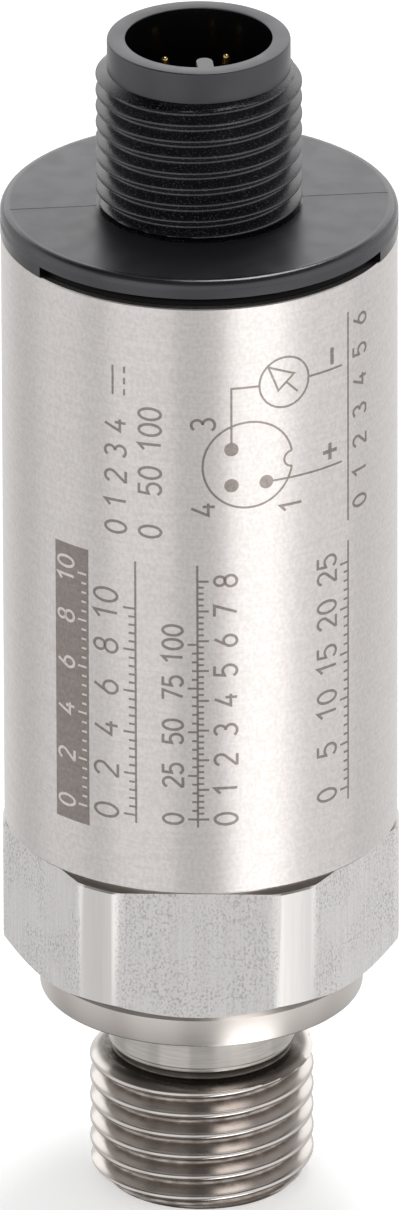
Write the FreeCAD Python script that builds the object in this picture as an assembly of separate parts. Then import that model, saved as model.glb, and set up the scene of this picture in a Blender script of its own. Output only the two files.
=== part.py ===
"""Pressure transmitter with a G 1/4 A process port and an M12 connector, millimetres.

The axis is Z. The origin is the centre of the end face of the process thread, and +Z runs up
through the hexagon and the housing tube to the rim of the connector. The front is -Y.
"""
import FreeCAD, Part
import math
import os

V = FreeCAD.Vector
AXIS = V(0, 0, 1)
TOUCH = 1e-4              # two sizes closer than this are the same size

# ---- Clearances that are used between any two pieces ----
slide_fit = 0.05          # radial play of a piece that slides into another
press_slack = 0.02        # radial play drawn for a pressed or moulded-in pin
break_edge = 0.1          # small chamfer that breaks a turned edge

# ---- Process port, turned and milled from round stainless bar ----
thread_d = 13.05          # crest diameter of the G 1/4 A thread
thread_tip_d = 11.2       # diameter of the end face
thread_tip_h = 0.95       # height of the lead-in chamfer
thread_len = 8.0          # end face to the end of the thread
thread_end_h = 0.2        # height of the chamfer behind the thread
undercut_d = 10.3         # groove for the threading tool
undercut_w = 0.5
neck_stub_d = 10.9        # neck between undercut and collar
stub_len = 12.35          # end face to the sealing face
collar_d = 18.8
collar_h = 1.73
cone_step = 0.15          # narrow flat between the collar and the cone
cone_h = 1.4              # cone from the collar up to the hexagon
hex_af = 21.0             # across flats
hex_corner = 1.0          # the bar stands this much outside the flats
hex_h = 7.22
hex_sides = 6
hex_turn = -1.45          # degrees, the front flat looks a little to the left
cut_over = 1.0            # cutting bodies reach this much past the face that they cut
inlet_d = 5.0             # pressure channel
chamber_d = 8.0           # shallow recess under the cell
chamber_h = 0.4
spigot_base = 3.9         # solid height between the hexagon and the floor of the cup
cup_wall = 1.3
cup_rim = 0.2             # the cup stands this much above the lock ring

# ---- Seals, drawn with the section that they have when squeezed ----
tube_ring_gap = 1.5       # hexagon to the groove of the ring between port and tube
tube_ring_depth = 1.1
tube_ring_w = 1.9
cell_ring_d = 13.2        # middle diameter of the ring under the cell
cell_ring_w = 2.2
cell_ring_depth = 1.3
ring_side = 0.1           # play of a ring at the sides of its groove
cap_ring_section = 1.5    # ring under the flange of the cap
cap_ring_groove = 0.6     # depth of its groove in the plug
cap_ring_sink = 0.9       # depth of its seat in the tube

# ---- Measuring cell and the rings that hold it ----
cell_h = 6.35
cell_notch_r = 0.9        # index notches in the edge of the cell
cell_notch_count = 3
thrust_ring_h = 1.25
lock_ring_h = 2.8
ring_hole_d = 13.0        # opening in both rings
lock_slot_w = 2.0         # slots for the pin spanner
lock_slot_h = 1.2
lock_slot_count = 4

# ---- Housing tube ----
joint_gap = 0.35          # open joint above the hexagon
bar_proud = 0.1           # the bar of the port stands this much outside the tube
tube_wall = 0.95          # wall over the spigot
tube_seat = 0.35          # step inside the tube that rests on the spigot
tube_len = 37.05
tube_chamfer = 0.15

# ---- Connector cap, one moulding ----
cap_turn = 6.0            # degrees, the whole cap with its contacts is turned a little
flange_proud = 0.04
flange_h = 1.04
flange_round = 0.43
slot_h = 0.66             # open slot between tube and flange
slot_span = 118.0         # degrees, one slot in front and one behind
plug_len = 4.2
plug_wall = 1.4
plug_lead = 0.4
snap_z = 2.0              # snap bead above the end of the plug
snap_bead = 0.2
snap_half = 0.6
thread_m12_d = 11.85      # crest diameter
thread_m12_len = 8.4
neck_d = 10.53            # plain end above the thread
neck_h = 1.84
neck_cone = 0.35
rim_chamfer = 0.12
socket_d = 8.43
socket_depth = 9.45
key_w = 1.0
key_reach = 1.65          # from the socket wall to the tip of the key
key_drop = 0.15           # rim to the top of the key
web_h = 3.2               # plastic between socket floor and contact collars

# ---- Contacts ----
pin_d = 1.0
pin_tip_d = 0.45          # round end of the tapered tip
pin_taper_h = 0.85
pin_circle_d = 5.0
pin_drop = 1.9            # rim to the contact tips
pin_collar_d = 1.6
pin_collar_h = 0.8
pin_tail_d = 0.8
pin_tail_out = 0.8        # tail below the contact board
pins = {1: -135.0, 3: 45.0, 4: 135.0}   # degrees from +X before the cap is turned

# ---- Boards and their carrier ----
board_t = 1.0
ledge_w = 1.6             # shoulder over the contact board
board_side = 0.4          # main board edge to the wall of the plug
carrier_play = 0.1
carrier_foot_h = 1.6
carrier_wall = 2.75       # depth of the foot and of the two posts
post_span = 36.0          # degrees
groove_depth = 0.95
groove_play = 0.02

# ---- Parts on the boards: width, height and thickness ----
control_size = (5.0, 5.0, 0.9)
amplifier_size = (4.9, 3.9, 1.5)
regulator_size = (4.5, 2.5, 1.5)
diode_size = (4.2, 3.4, 2.2)
capacitor_size = (2.0, 1.25, 1.2)
resistor_size = (1.6, 0.8, 0.45)
cell_chip_size = (4.0, 4.0, 0.9)
lead_w = 0.4
lead_out = 0.7
lead_pitch = 1.27
lead_count = 3            # leads on each side of the amplifier
capacitor_count = 5
resistor_count = 7
row_gap = 0.5             # free strip between the parts and what bounds them
diode_gap = 0.8
regulator_x = 4.2         # left and right places on the boards
diode_x = -4.4
capacitor_x = -5.2
resistor_x = 5.4

# ---- Links between the boards ----
header_pitch = 1.27
header_pin = 0.45
header_body = 1.6
header_count = 3
header_x = 3.2
flex_w = 4.6
flex_t = 0.16
flex_bend = 0.9
flex_pad = 1.6            # length that lies on the cell
flex_reach = 4.9          # axis to the end of the flex on the cell
flex_lap = 2.6            # length that lies on the main board
spring_w = 3.0
spring_t = 0.25
spring_bend = 0.8
spring_lap = 2.2
spring_drop = 1.5         # end of the plug to the pad of the spring
spring_fall = 3.2         # height that the arm takes on its way to the tube

# ---- Heights and radii that follow ----
bar_d = hex_af + 2 * hex_corner
tube_r = bar_d / 2 - bar_proud
spigot_r = tube_r - tube_wall - slide_fit
bore_r = spigot_r - tube_seat
cup_r = spigot_r - cup_wall
cell_r = cup_r - 2 * slide_fit
collar_top = stub_len + collar_h
hex_bottom = collar_top + cone_h
hex_top = hex_bottom + hex_h
cup_floor = hex_top + spigot_base
cell_top = cup_floor + cell_h
lock_bottom = cell_top + thrust_ring_h
spigot_top = lock_bottom + lock_ring_h + cup_rim
tube_bottom = hex_top + joint_gap
tube_top = tube_bottom + tube_len
ring_seat = tube_top - cap_ring_sink
flange_bottom = tube_top + slot_h
flange_top = flange_bottom + flange_h
flange_r = tube_r + flange_proud
plug_r = bore_r - slide_fit
groove_r = plug_r - cap_ring_groove
seat_r = groove_r + cap_ring_section + press_slack
plug_bottom = ring_seat - plug_len
neck_bottom = flange_top + thread_m12_len
rim = neck_bottom + neck_h
socket_floor = rim - socket_depth
web_bottom = socket_floor - web_h
hollow_r = plug_r - plug_wall
contact_board_top = web_bottom - pin_collar_h - slide_fit
contact_board_bottom = contact_board_top - board_t
carrier_r = bore_r - carrier_play
post_in = carrier_r - carrier_wall
board_half = post_in + groove_depth - groove_play
board_bottom = spigot_top + carrier_foot_h
board_face = board_t / 2
rows_bottom = board_bottom + flex_lap + row_gap
rows_top = contact_board_bottom - header_body - row_gap


def turned(points):
    """A solid of revolution about Z from its half section, points as (radius, height)."""
    corners = [V(radius, 0, height) for radius, height in points + points[:1]]
    return Part.Face(Part.makePolygon(corners)).revolve(V(0, 0, 0), AXIS, 360)


def rod(diameter, bottom, top, x=0.0, y=0.0):
    """An upright round bar."""
    return Part.makeCylinder(diameter / 2, top - bottom, V(x, y, bottom))


def block(size, centre):
    """A box about its centre."""
    corner = V(*[middle - side / 2 for middle, side in zip(centre, size)])
    return Part.makeBox(*size, corner)


def sector(inner, outer, bottom, top, middle, span):
    """A piece of a ring that spans an angle about its middle direction, in degrees."""
    height = top - bottom
    piece = Part.makeCylinder(outer, height, V(0, 0, bottom), AXIS, span)
    piece = piece.cut(Part.makeCylinder(inner, height, V(0, 0, bottom)))
    piece.rotate(V(0, 0, 0), AXIS, middle - span / 2)
    return piece


def around(radius, degrees):
    """The point at a radius and an angle from +X."""
    return radius * math.cos(math.radians(degrees)), radius * math.sin(math.radians(degrees))


def seal(middle_r, middle_z, half_w, half_h):
    """A sealing ring whose section is round at two sides and flat where it is squeezed."""
    bend = min(half_w, half_h)
    flat_w, flat_h = half_w - bend, half_h - bend
    ring = Part.makeTorus(middle_r, bend, V(0, 0, middle_z))
    if flat_h > TOUCH:
        low, high = middle_z - flat_h, middle_z + flat_h
        ring = sector(middle_r - bend, middle_r + bend, low, high, 0, 360)
        for height in (low, high):
            ring = ring.fuse(Part.makeTorus(middle_r, bend, V(0, 0, height)))
    elif flat_w > TOUCH:
        low, high = middle_z - bend, middle_z + bend
        ring = sector(middle_r - flat_w, middle_r + flat_w, low, high, 0, 360)
        for radius in (middle_r - flat_w, middle_r + flat_w):
            ring = ring.fuse(Part.makeTorus(radius, bend, V(0, 0, middle_z)))
    return ring.removeSplitter()


def strip(points, bend, width, thickness):
    """Flat strip along a path in the YZ plane, with an arc at each corner."""
    path, start = [], points[0]
    for before, corner, after in zip(points, points[1:], points[2:]):
        back, ahead = (before - corner).normalize(), (after - corner).normalize()
        half = back.getAngle(ahead) / 2
        run = bend / math.tan(half)
        middle = corner + (back + ahead).normalize() * (bend / math.sin(half) - bend)
        path.append(Part.makeLine(start, corner + back * run))
        path.append(Part.Arc(corner + back * run, middle, corner + ahead * run).toShape())
        start = corner + ahead * run
    path.append(Part.makeLine(start, points[-1]))
    first = (points[1] - points[0]).normalize()
    side, across = V(width / 2, 0, 0), first.cross(V(1, 0, 0)) * (thickness / 2)
    corners = [points[0] + side + across, points[0] - side + across,
               points[0] - side - across, points[0] + side - across]
    section = Part.makePolygon(corners + corners[:1])
    return Part.Wire(path).makePipeShell([section], True, False)


def edge_circles(shape, radius, height):
    """The circles of a body about Z that have this radius and height."""
    return [edge for edge in shape.Edges
            if isinstance(edge.Curve, Part.Circle)
            and abs(edge.Curve.Radius - radius) < TOUCH
            and abs(edge.Curve.Center.z - height) < TOUCH]


def process_port():
    """Thread stub, collar, hexagon and the cup that holds the cell, all one turned piece."""
    thread_r, tip_r, collar_r = thread_d / 2, thread_tip_d / 2, collar_d / 2
    undercut_r, neck_r = undercut_d / 2, neck_stub_d / 2
    undercut_low = thread_len + thread_end_h
    undercut_high = undercut_low + undercut_w
    ring_low = hex_top + tube_ring_gap
    body = turned([
        (0, 0), (tip_r, 0), (thread_r, thread_tip_h), (thread_r, thread_len),
        (tip_r, undercut_low), (undercut_r, undercut_low), (undercut_r, undercut_high),
        (neck_r, undercut_high), (neck_r, stub_len),
        (collar_r - break_edge, stub_len), (collar_r, stub_len + break_edge),
        (collar_r, collar_top), (collar_r + cone_step, collar_top),
        (bar_d / 2, hex_bottom), (bar_d / 2, hex_top - break_edge),
        (bar_d / 2 - break_edge, hex_top), (spigot_r, hex_top),
        (spigot_r, ring_low), (spigot_r - tube_ring_depth, ring_low),
        (spigot_r - tube_ring_depth, ring_low + tube_ring_w), (spigot_r, ring_low + tube_ring_w),
        (spigot_r, spigot_top - break_edge), (spigot_r - break_edge, spigot_top),
        (cup_r, spigot_top), (cup_r, cup_floor), (0, cup_floor)])
    flats = Part.makePolygon([V(*around(hex_af / math.sqrt(3), 360 / hex_sides * corner), 0)
                              for corner in range(hex_sides + 1)])
    bar = Part.Face(flats).extrude(V(0, 0, hex_top))
    bar.rotate(V(0, 0, 0), AXIS, hex_turn)
    blank = rod(bar_d + 2 * cut_over, collar_top, hex_top).cut(bar)
    body = body.cut(blank)
    cell_groove = sector((cell_ring_d - cell_ring_w) / 2, (cell_ring_d + cell_ring_w) / 2,
                         cup_floor - cell_ring_depth, cup_floor, 0, 360)
    chamber = rod(chamber_d, cup_floor - chamber_h, cup_floor)
    return body.cut(cell_groove).cut(chamber).cut(rod(inlet_d, 0, cup_floor))


def housing_tube():
    """Turned tube: it slips over the spigot, rests on its rim and takes the cap."""
    lower_r, snap = spigot_r + slide_fit, plug_bottom + snap_z
    return turned([
        (lower_r + break_edge, tube_bottom), (tube_r - tube_chamfer, tube_bottom),
        (tube_r, tube_bottom + tube_chamfer), (tube_r, tube_top - tube_chamfer),
        (tube_r - tube_chamfer, tube_top), (seat_r, tube_top), (seat_r, ring_seat),
        (bore_r, ring_seat), (bore_r, snap + snap_half),
        (bore_r + snap_bead, snap + snap_bead), (bore_r + snap_bead, snap - snap_bead),
        (bore_r, snap - snap_half), (bore_r, spigot_top),
        (lower_r, spigot_top), (lower_r, tube_bottom + break_edge)])


def connector_cap():
    """Flange, threaded sleeve with its socket, and the plug that snaps into the tube."""
    thread_r, neck_r, snap = thread_m12_d / 2, neck_d / 2, plug_bottom + snap_z
    body = turned([
        (0, web_bottom), (hollow_r - ledge_w, web_bottom), (hollow_r - ledge_w, contact_board_top),
        (hollow_r, contact_board_top), (hollow_r, plug_bottom), (plug_r - plug_lead, plug_bottom),
        (plug_r, plug_bottom + plug_lead), (plug_r, snap - snap_bead),
        (plug_r + snap_bead, snap), (plug_r, snap + snap_bead), (plug_r, ring_seat),
        (groove_r, ring_seat), (groove_r, flange_bottom), (flange_r, flange_bottom),
        (flange_r, flange_top), (thread_r, flange_top), (thread_r, neck_bottom - neck_cone),
        (neck_r, neck_bottom), (neck_r, rim - rim_chamfer), (neck_r - rim_chamfer, rim), (0, rim)])
    body = body.makeFillet(flange_round, edge_circles(body, flange_r, flange_top))
    skirt_in = seat_r + slide_fit
    for side in (0, 180):
        body = body.fuse(sector(skirt_in, flange_r, tube_top, flange_bottom, side, 180 - slot_span))
    socket_r = socket_d / 2
    body = body.cut(rod(socket_d, socket_floor, rim + cut_over))
    tip = socket_r - key_reach + key_w / 2
    key_h = rim - key_drop - socket_floor
    key = block((key_w, socket_r - tip, key_h), (0, -(socket_r + tip) / 2, socket_floor + key_h / 2))
    key = key.fuse(rod(key_w, socket_floor, socket_floor + key_h, 0, -tip))
    body = body.fuse(key.common(rod(socket_d, socket_floor, rim)))
    for degrees in pins.values():
        x, y = around(pin_circle_d / 2, degrees)
        body = body.cut(rod(pin_d + 2 * press_slack, web_bottom, rim, x, y))
    return body.removeSplitter()


def contact_pin(degrees):
    """Turned contact: tapered tip, collar under the web and a tail for the contact board."""
    x, y = around(pin_circle_d / 2, degrees)
    tip_r = pin_tip_d / 2
    ball_z = rim - pin_drop - tip_r
    taper_z = ball_z - pin_taper_h
    pin = rod(pin_d, web_bottom, taper_z, x, y)
    pin = pin.fuse(Part.makeCone(pin_d / 2, tip_r, pin_taper_h, V(x, y, taper_z)))
    pin = pin.fuse(Part.makeSphere(tip_r, V(x, y, ball_z)))
    pin = pin.fuse(rod(pin_collar_d, web_bottom - pin_collar_h, web_bottom, x, y))
    return pin.fuse(rod(pin_tail_d, contact_board_bottom - pin_tail_out, web_bottom, x, y))


def tube_o_ring():
    """Ring in the groove of the spigot, squeezed by the tube."""
    inner, outer = spigot_r - tube_ring_depth, spigot_r + slide_fit
    middle_z = hex_top + tube_ring_gap + tube_ring_w / 2
    return seal((inner + outer) / 2, middle_z, (outer - inner) / 2, tube_ring_w / 2 - ring_side)


def cell_o_ring():
    """Ring in the floor of the cup, squeezed by the cell."""
    half_h = cell_ring_depth / 2
    return seal(cell_ring_d / 2, cup_floor - half_h, cell_ring_w / 2 - ring_side, half_h)


def cap_o_ring():
    """Ring between the plug, the tube and the flange, seen in the slot."""
    half = cap_ring_section / 2
    return seal(groove_r + half, ring_seat + half, half, half)


def ceramic_cell():
    """Round ceramic cell with index notches in its edge."""
    cell = rod(2 * cell_r, cup_floor, cell_top)
    for notch in range(cell_notch_count):
        place = around(cell_r, notch * 360 / cell_notch_count)
        cell = cell.cut(rod(2 * cell_notch_r, cup_floor, cell_top, *place))
    return cell


def thrust_ring():
    """Plastic ring that spreads the load of the lock ring over the cell."""
    return sector(ring_hole_d / 2, cell_r, cell_top, lock_bottom, 0, 360)


def lock_ring():
    """Threaded ring that clamps the cell, with slots for a spanner; one block cuts two of them."""
    top = lock_bottom + lock_ring_h
    ring = sector(ring_hole_d / 2, cup_r - slide_fit, lock_bottom, top, 0, 360)
    pitch = 360 / lock_slot_count
    for pair in range(lock_slot_count // 2):
        slot = block((2 * cup_r, lock_slot_w, lock_slot_h), (0, 0, top - lock_slot_h / 2))
        slot.rotate(V(0, 0, 0), AXIS, (pair + 1 / 2) * pitch)
        ring = ring.cut(slot)
    return ring


def board_carrier():
    """Moulded foot ring on the spigot with two grooved posts for the main board."""
    carrier = sector(post_in, carrier_r, spigot_top, board_bottom, 0, 360)
    for side in (0, 180):
        carrier = carrier.fuse(sector(post_in, carrier_r, spigot_top, plug_bottom, side, post_span))
    groove_h = plug_bottom - board_bottom
    groove = block((2 * (board_half + groove_play), board_t + 2 * groove_play, groove_h),
                   (0, 0, board_bottom + groove_h / 2))
    return carrier.cut(groove).removeSplitter()


def main_board():
    """Upright board: its edges stand in the grooves, and its top is soldered to the round board."""
    height = contact_board_bottom - board_bottom
    upper_half = hollow_r - board_side
    board = block((2 * board_half, board_t, height), (0, 0, board_bottom + height / 2))
    above = contact_board_bottom - plug_bottom
    relief = sector(upper_half, bore_r, plug_bottom - board_side, plug_bottom + above, 0, 360)
    return board.cut(relief)


def contact_board():
    """Round board that the contacts are soldered into."""
    board = rod(2 * (hollow_r - slide_fit), contact_board_bottom, contact_board_top)
    for degrees in pins.values():
        x, y = around(pin_circle_d / 2, degrees)
        hole = rod(pin_tail_d + 2 * slide_fit, contact_board_bottom, contact_board_top, x, y)
        board = board.cut(hole)
    for place in range(header_count):
        x = header_x + place * header_pitch
        side = header_pin + 2 * slide_fit
        board = board.cut(block((side, side, board_t), (x, header_y(), contact_board_top - board_t / 2)))
    return board


def header_y():
    """Middle of the board header, which lies on the back of the main board."""
    return board_face + header_body / 2


def board_header():
    """Pin strip between the main board and the contact board."""
    length = header_pitch * header_count
    middle_x = header_x + header_pitch * (header_count - 1) / 2
    strip_z = contact_board_bottom - header_body / 2
    header = block((length, header_body, header_body), (middle_x, header_y(), strip_z))
    pin_h = header_body + board_t + header_pin
    for place in range(header_count):
        pin_z = contact_board_bottom - header_body + pin_h / 2
        x = header_x + place * header_pitch
        header = header.fuse(block((header_pin, header_pin, pin_h), (x, header_y(), pin_z)))
    return header.removeSplitter()


def on_board(size, x, z, side):
    """A part on the main board, side -1 for the front face and +1 for the back."""
    width, height, thickness = size
    return block((width, thickness, height), (x, side * (board_face + thickness / 2), z))


def chip_leads(size, x, z, side, count):
    """Gull-wing leads left and right of a chip body."""
    width = size[0] + 2 * lead_out
    leads = []
    for place in range(count):
        height = z + (place - (count - 1) / 2) * lead_pitch
        leads.append(on_board((width, lead_w, lead_w), x, height, side))
    return leads


def chip(size, x, z, side, count):
    """Chip body with its leads, one solid."""
    body = on_board(size, x, z, side)
    for lead in chip_leads(size, x, z, side, count):
        body = body.fuse(lead)
    return body.removeSplitter()


def row_of(size, count, x, side):
    """Equal small parts spread over the free height of the board, solids that share one file."""
    first, last = rows_bottom + size[1] / 2, rows_top - size[1] / 2
    pitch = (last - first) / (count - 1)
    return Part.Compound([on_board(size, x, first + place * pitch, side) for place in range(count)])


def surge_diodes():
    """Two diodes one above the other on the back, below the board header."""
    upper = rows_top - diode_size[1] / 2
    lower = upper - diode_size[1] - diode_gap
    return Part.Compound([on_board(diode_size, diode_x, height, 1) for height in (upper, lower)])


def flex_cable():
    """Flexible strip from the top of the cell to the front of the main board."""
    half = flex_t / 2
    low, front = cell_top + half, -(board_face + half)
    lap = board_bottom + flex_lap
    points = [V(0, -flex_reach, low), V(0, -flex_reach + flex_pad + flex_bend, low),
              V(0, front, board_bottom - flex_bend), V(0, front, lap)]
    return strip(points, flex_bend, flex_w, flex_t)


def earth_spring():
    """Leaf spring on the back of the main board that presses on the tube wall."""
    half = spring_t / 2
    top = plug_bottom - spring_drop
    near, far = board_face + half, math.sqrt((bore_r - slide_fit) ** 2 - (spring_w / 2) ** 2) - half
    low = top - spring_lap - spring_fall
    points = [V(0, near, top), V(0, near, top - spring_lap), V(0, far, low),
              V(0, far, low - spring_lap)]
    return strip(points, spring_bend, spring_w, spring_t)


def cell_chip():
    """Signal conditioner on the top of the cell."""
    width, depth, height = cell_chip_size
    return block(cell_chip_size, (0, depth / 2 + slide_fit, cell_top + height / 2))


def save(name, shape, turn=0.0):
    """Turn a shape about the axis and write it as one STEP file."""
    shape = shape.copy()
    shape.rotate(V(0, 0, 0), AXIS, turn)
    if not shape.isValid():
        raise ValueError(name + " is not a valid shape")
    shape.exportStep("parts/" + name + ".step")
    print(name, len(shape.Solids), "solid(s)", round(shape.Volume, 1), "mm3")


os.makedirs("parts", exist_ok=True)
save("process_port", process_port())
save("tube_o_ring", tube_o_ring())
save("cell_o_ring", cell_o_ring())
save("ceramic_cell", ceramic_cell(), cap_turn)
save("cell_chip", cell_chip(), cap_turn)
save("thrust_ring", thrust_ring(), cap_turn)
save("lock_ring", lock_ring(), cap_turn)
save("housing_tube", housing_tube())
save("board_carrier", board_carrier(), cap_turn)
save("main_board", main_board(), cap_turn)
save("flex_cable", flex_cable(), cap_turn)
save("earth_spring", earth_spring(), cap_turn)
save("control_chip", on_board(control_size, 0, rows_bottom + control_size[1] / 2, -1), cap_turn)
save("amplifier_chip",
     chip(amplifier_size, 0, rows_top - amplifier_size[1] / 2, -1, lead_count), cap_turn)
save("voltage_regulator",
     on_board(regulator_size, regulator_x, rows_bottom + regulator_size[1] / 2, 1), cap_turn)
save("surge_diodes", surge_diodes(), cap_turn)
save("capacitors", row_of(capacitor_size, capacitor_count, capacitor_x, -1), cap_turn)
save("resistors", row_of(resistor_size, resistor_count, resistor_x, -1), cap_turn)
save("contact_board", contact_board(), cap_turn)
save("board_header", board_header(), cap_turn)
save("cap_o_ring", cap_o_ring())
save("connector_cap", connector_cap(), cap_turn)
for number, degrees in pins.items():
    save("contact_pin_%d" % number, contact_pin(degrees), cap_turn)
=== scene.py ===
"""Pressure transmitter with a G 1/4 A process port and an M12 connector: its looks.

Lengths are written in millimetres and become metres when a mesh is made. The axis is Z, the
front is -Y, and angles run from +X towards +Y.
"""
import math

import bmesh
import bpy
import numpy as np
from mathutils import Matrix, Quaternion, Vector


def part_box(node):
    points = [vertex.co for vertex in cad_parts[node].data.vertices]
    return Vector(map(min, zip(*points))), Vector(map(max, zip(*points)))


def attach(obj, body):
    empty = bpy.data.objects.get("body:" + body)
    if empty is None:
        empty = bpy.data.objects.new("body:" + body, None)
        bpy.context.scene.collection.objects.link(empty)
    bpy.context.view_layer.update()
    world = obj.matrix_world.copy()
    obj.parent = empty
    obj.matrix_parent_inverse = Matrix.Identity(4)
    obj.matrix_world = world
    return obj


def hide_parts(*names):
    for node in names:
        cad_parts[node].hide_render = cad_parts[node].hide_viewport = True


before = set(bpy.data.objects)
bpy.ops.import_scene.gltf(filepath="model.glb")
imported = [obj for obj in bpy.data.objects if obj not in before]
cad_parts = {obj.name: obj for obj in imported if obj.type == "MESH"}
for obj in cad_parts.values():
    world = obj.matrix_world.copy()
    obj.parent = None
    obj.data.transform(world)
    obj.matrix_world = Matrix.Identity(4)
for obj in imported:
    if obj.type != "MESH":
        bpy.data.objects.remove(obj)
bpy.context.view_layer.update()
mm = 0.001


# ---- Studio ----
# A white table in a room of pale walls with a dark ceiling. Tall panels stand round the part, the
# table shines at the right front, and a box hangs high behind it. The room's levels blend over
# spans of the sine of the elevation, and over headings in degrees from the front towards +X.
middle_height = 36.2
look_down = math.radians(25.04)
camera_distance = 1445.0
camera_left = 0.02
camera_roll = math.radians(-0.17)
sensor_height = 16.0
lens_per_sensor = 20.66
table_half = 3000.0
table_white = 0.92
table_lift = 0.34
ceiling_level = 0.06
ceiling_span = (0.45, 0.85)
wall_level = 1.10
below_level = 0.86
below_span = (-0.40, -0.05)
deep_level = 0.18
deep_span = (-0.64, -0.50)
table_sheen = 4.0
sheen_span = (-0.53, -0.63)
sheen_rise = (10, 28)
sheen_fall = (53, 69)
corner_depth = 0.14
corner_rise = (-146, -132)
corner_fall = (-112, -96)
panel_distance = 600
panel_tall = 1400
panels = {
    "soft_box": {"from": 16, "to": 72, "bright": 0.08},
    "soft_box_core": {"from": 36, "to": 62, "bright": 0.14},
    "right_panel": {"from": 57, "to": 97, "bright": 0.20},
    "left_panel": {"from": -54, "to": -15, "bright": 0.28},
    "left_side_panel": {"from": -110, "to": -70, "bright": 0.12},
}
lamps = {name: {"azimuth": (panel["from"] + panel["to"]) / 2, "elevation": 0,
                "distance": panel_distance,
                "wide": 2 * panel_distance * math.tan(math.radians(panel["to"] - panel["from"]) / 2),
                "tall": panel_tall, "bright": panel["bright"]} for name, panel in panels.items()}
lamps["high_box"] = {"azimuth": 161, "elevation": 66, "distance": 700, "wide": 190, "tall": 290,
                     "bright": 9.0}
lamps["back_light"] = {"azimuth": 180, "elevation": 28, "distance": 1200, "wide": 1500, "tall": 600,
                       "bright": 0.8}


class Number:
    """A number or vector inside a material; arithmetic on it adds Math nodes."""

    def __init__(self, finish, socket):
        self.finish = finish
        self.socket = socket

    def __add__(self, other):
        return self.finish.maths("ADD", self, other)

    def __sub__(self, other):
        return self.finish.maths("SUBTRACT", self, other)

    def __rsub__(self, other):
        return self.finish.maths("SUBTRACT", other, self)

    def __mul__(self, other):
        return self.finish.maths("MULTIPLY", self, other)

    def __pow__(self, other):
        return self.finish.maths("POWER", self, other)

    __radd__ = __add__
    __rmul__ = __mul__


class Finish:
    """The node graph of one material, or of the world."""

    def __init__(self, name, constants=None, owner=None):
        self.material = owner or bpy.data.materials.new(name)
        self.material.use_nodes = True
        self.tree = self.material.node_tree
        self.shader = self.tree.nodes.get("Principled BSDF")
        for socket, value in (constants or {}).items():
            self.shader.inputs[socket].default_value = value

    def node(self, kind, settings=None, sockets=None, out=0):
        """Adds a node, its settings first, then the values or links of its sockets."""
        made = self.tree.nodes.new(kind)
        for name, value in (settings or {}).items():
            setattr(made, name, value)
        for name, value in (sockets or {}).items():
            self.feed(made.inputs[name], value)
        return Number(self, made.outputs[out])

    def feed(self, socket, value):
        """Links a number to a socket, or sets the socket's own value."""
        if isinstance(value, Number):
            self.tree.links.new(value.socket, socket)
        else:
            socket.default_value = value

    def maths(self, operation, first, second=0.0):
        """One Math node."""
        return self.node("ShaderNodeMath", {"operation": operation}, {0: first, 1: second})

    def mix(self, share, first, second):
        """A colour between two colours."""
        return self.node("ShaderNodeMix", {"data_type": "RGBA"}, {0: share, 6: first, 7: second}, 2)

    def between(self, value, low, high, start=0.0, end=1.0):
        """Maps a number smoothly from low..high to start..end and holds it there outside."""
        sockets = {"Value": value, "From Min": low, "From Max": high, "To Min": start, "To Max": end}
        return self.node("ShaderNodeMapRange", {"interpolation_type": "SMOOTHSTEP"}, sockets)

    def noise(self, place, scale, detail=2.0):
        """Soft noise from 0 to 1 about 0.5; scale is in waves per unit of place."""
        return self.node("ShaderNodeTexNoise", {}, {"Vector": place, "Scale": scale, "Detail": detail})

    def place(self):
        """Object coordinates in millimetres."""
        here = self.node("ShaderNodeTexCoord", out="Object")
        return self.node("ShaderNodeVectorMath", {"operation": "SCALE"}, {0: here, "Scale": 1 / mm})

    def parts(self, vector):
        """The three numbers of a vector."""
        return [self.node("ShaderNodeSeparateXYZ", {}, {0: vector}, part) for part in range(3)]

    def vector(self, x, y, z):
        """A vector of three numbers."""
        return self.node("ShaderNodeCombineXYZ", {}, {0: x, 1: y, 2: z})

    def dress(self, colour=None, roughness=None, height=None, depth=0.01):
        """Feeds the shader: colour, roughness, and a relief whose depth is in millimetres."""
        if colour is not None:
            self.feed(self.shader.inputs["Base Color"], colour)
        if roughness is not None:
            self.feed(self.shader.inputs["Roughness"], roughness)
        if height is not None:
            relief = self.node("ShaderNodeBump", {}, {"Height": height, "Distance": depth * mm})
            self.feed(self.shader.inputs["Normal"], relief)
        return self.material


world = bpy.data.worlds.new("white_room")
bpy.context.scene.world = world
room = Finish("white_room", owner=world)
direction = room.node("ShaderNodeTexCoord", out="Generated")
towards_x, towards_y, upward = room.parts(direction)
above = room.between(upward, *ceiling_span, wall_level, ceiling_level)
below = room.between(upward, *below_span, below_level - wall_level, 0.0)
deep = room.between(upward, *deep_span, deep_level - below_level, 0.0)
in_view = room.node("ShaderNodeLightPath", out="Is Camera Ray")
heading = room.maths("ARCTAN2", towards_x, 0 - towards_y) * math.degrees(1)
sheen = room.between(heading, *sheen_rise) * room.between(heading, *sheen_fall, 1.0, 0.0)
sheen = sheen * room.between(upward, *sheen_span, 0.0, table_sheen)
dim_corner = room.between(heading, *corner_rise)
dim_corner = dim_corner * room.between(heading, *corner_fall, corner_depth, 0.0)
room_level = in_view + (1 - in_view) * (above + below + deep + sheen - dim_corner)
room.feed(room.tree.nodes["World Output"].inputs["Surface"],
          room.node("ShaderNodeBackground", {}, {"Color": (1, 1, 1, 1), "Strength": room_level}))

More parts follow.
